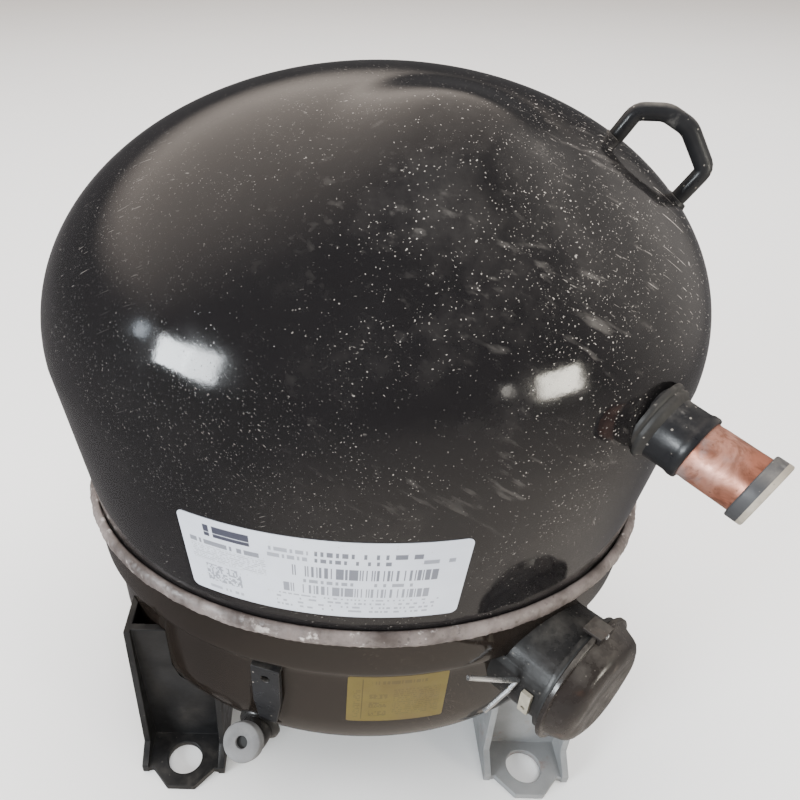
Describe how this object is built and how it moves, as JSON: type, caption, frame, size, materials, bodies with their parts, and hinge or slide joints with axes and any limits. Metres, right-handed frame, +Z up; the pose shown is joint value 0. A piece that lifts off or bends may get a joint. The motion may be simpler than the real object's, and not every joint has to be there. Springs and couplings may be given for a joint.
{
  "type": "hermetic reciprocating compressor",
  "caption": "Welded oval-shell refrigerant compressor on stamped feet, with suction stub, discharge elbow, terminal box and a spring-hung motor and piston pump inside.",
  "frame": {"origin": "centre of the four mounting holes, at the underside of the feet", "axes": "+Z up, square to the underside of the feet; +X to the right along the long side of the oval shell; the front, with both tube stubs and the terminal box, faces -Y"},
  "size_m": [0.2954, 0.2559, 0.335],
  "materials": {
    "shell_paint": "gloss",
    "lower_paint": "satin",
    "weld_metal": "rough",
    "foot_black": "satin",
    "foot_grey": "satin",
    "handle_paint": "satin",
    "copper": "oxidised",
    "plug_rubber": "matte",
    "grey_rubber": "matte",
    "black_rubber": "matte",
    "dark_steel": "satin",
    "plain_steel": "satin",
    "bright_steel": "polished",
    "cast_iron": "cast",
    "brass": "satin",
    "cover_paint": "satin",
    "label_white": "satin",
    "label_yellow": "satin",
    "winding": "varnished",
    "black_plastic": "matte",
    "ivory_plastic": "matte",
    "lead_red": "matte",
    "aluminium": "machined"
  },
  "bodies": {
    "housing": {"upper_shell": "shell_paint", "lower_shell": "lower_paint", "weld_bead": "weld_metal", "foot_front_left": "foot_black", "foot_front_right": "foot_grey", "foot_rear_left": "foot_black", "foot_rear_right": "foot_grey", "lifting_handle": "handle_paint", "suction_sleeve": "handle_paint", "suction_stub": "copper", "discharge_elbow": "dark_steel", "tube_bracket": "handle_paint", "terminal_box": "dark_steel", "terminal_gasket": "black_rubber", "hermetic_terminal": "plain_steel", "terminal_pins": "brass", "ground_terminal": "brass", "bail_wire": "bright_steel", "rating_label": "label_white", "notice_label": "label_yellow", "spring_studs": "dark_steel", "cluster_block": "ivory_plastic"},
    "suction_cap": {"suction_plug": "plug_rubber"},
    "discharge_cap": {"discharge_plug": "grey_rubber"},
    "box_cover": {"terminal_cover": "cover_paint", "cover_clips": "cover_paint"},
    "pump": {"spring_cups": "dark_steel", "suspension_springs": "bright_steel", "crankcase": "cast_iron", "bearing_bushes": "brass", "lower_bearing_plate": "cast_iron", "valve_plate_right": "plain_steel", "valve_plate_left": "plain_steel", "cylinder_head_right": "cast_iron", "cylinder_head_left": "cast_iron", "head_bolts": "dark_steel", "discharge_muffler": "copper", "discharge_loop": "copper", "motor_frame": "cast_iron", "stator_core": "plain_steel", "stator_winding": "winding", "motor_bolts": "dark_steel", "motor_cap": "plain_steel", "motor_protector": "black_plastic", "motor_leads": "lead_red"},
    "crank": {"crankshaft": "bright_steel", "counterweights": "cast_iron", "oil_pickup": "plain_steel", "rotor_core": "plain_steel", "rotor_end_rings": "aluminium"},
    "piston_right": {"piston_right": "aluminium", "wrist_pin_right": "bright_steel"},
    "piston_left": {"piston_left": "aluminium", "wrist_pin_left": "bright_steel"},
    "rod_right": {"connecting_rod_right": "aluminium"},
    "rod_left": {"connecting_rod_left": "aluminium"},
    "suction_disc_right": {"suction_valve_right": "bright_steel"},
    "suction_disc_left": {"suction_valve_left": "bright_steel"},
    "discharge_disc_right": {"discharge_valve_right": "bright_steel"},
    "discharge_disc_left": {"discharge_valve_left": "bright_steel"}
  },
  "joints": [
    {"name": "suspension", "type": "slide", "parent": "housing", "child": "pump", "axis": [0, 0, 1], "range_m": [-0.002, 0.002], "stiffness_N_per_m": 90000, "springref_m": 0.00244, "deforming": ["suspension_springs", "discharge_loop", "motor_leads"]},
    {"name": "crank_turn", "type": "hinge", "parent": "pump", "child": "crank", "pos_m": [0, 0, 0.112], "axis": [0, 0, 1], "range_deg": [-25, 25]},
    {"name": "piston_right_slide", "type": "slide", "parent": "pump", "child": "piston_right", "axis": [1, 0, 0], "range_m": [-0.003, 0.003]},
    {"name": "piston_left_slide", "type": "slide", "parent": "pump", "child": "piston_left", "axis": [1, 0, 0], "range_m": [-0.003, 0.003]},
    {"name": "rod_right_swing", "type": "hinge", "parent": "piston_right", "child": "rod_right", "pos_m": [0.06081, 0, 0.119], "axis": [0, 0, 1], "range_deg": [-3, 3]},
    {"name": "rod_left_swing", "type": "hinge", "parent": "piston_left", "child": "rod_left", "pos_m": [-0.05052, 0, 0.105], "axis": [0, 0, 1], "range_deg": [-3, 3]},
    {"name": "suction_disc_right_lift", "type": "slide", "parent": "piston_right", "child": "suction_disc_right", "axis": [1, 0, 0], "range_m": [0, 0.0012]},
    {"name": "suction_disc_left_lift", "type": "slide", "parent": "piston_left", "child": "suction_disc_left", "axis": [-1, 0, 0], "range_m": [0, 0.0012]},
    {"name": "discharge_disc_right_lift", "type": "slide", "parent": "pump", "child": "discharge_disc_right", "axis": [1, 0, 0], "range_m": [0, 0.0015], "stiffness_N_per_m": 400, "springref_m": -0.001},
    {"name": "discharge_disc_left_lift", "type": "slide", "parent": "pump", "child": "discharge_disc_left", "axis": [-1, 0, 0], "range_m": [0, 0.0015], "stiffness_N_per_m": 400, "springref_m": -0.001},
    {"name": "cover_pull", "type": "slide", "parent": "housing", "child": "box_cover", "axis": [0.6691, -0.7431, 0], "range_m": [0, 0.04]},
    {"name": "suction_plug_pull", "type": "slide", "parent": "housing", "child": "suction_cap", "axis": [0.6671, -0.7154, -0.2079], "range_m": [0, 0.04]},
    {"name": "discharge_plug_pull", "type": "slide", "parent": "housing", "child": "discharge_cap", "axis": [-0.2304, -0.6001, 0.766], "range_m": [0, 0.03]}
  ],
  "couplings": [
    {"joint": "piston_right_slide", "follows": "crank_turn", "m_per_rad": -0.0064019},
    {"joint": "piston_left_slide", "follows": "crank_turn", "m_per_rad": -0.0053411},
    {"joint": "rod_right_swing", "follows": "crank_turn", "ratio": -0.0878},
    {"joint": "rod_left_swing", "follows": "crank_turn", "ratio": 0.0893}
  ]
}
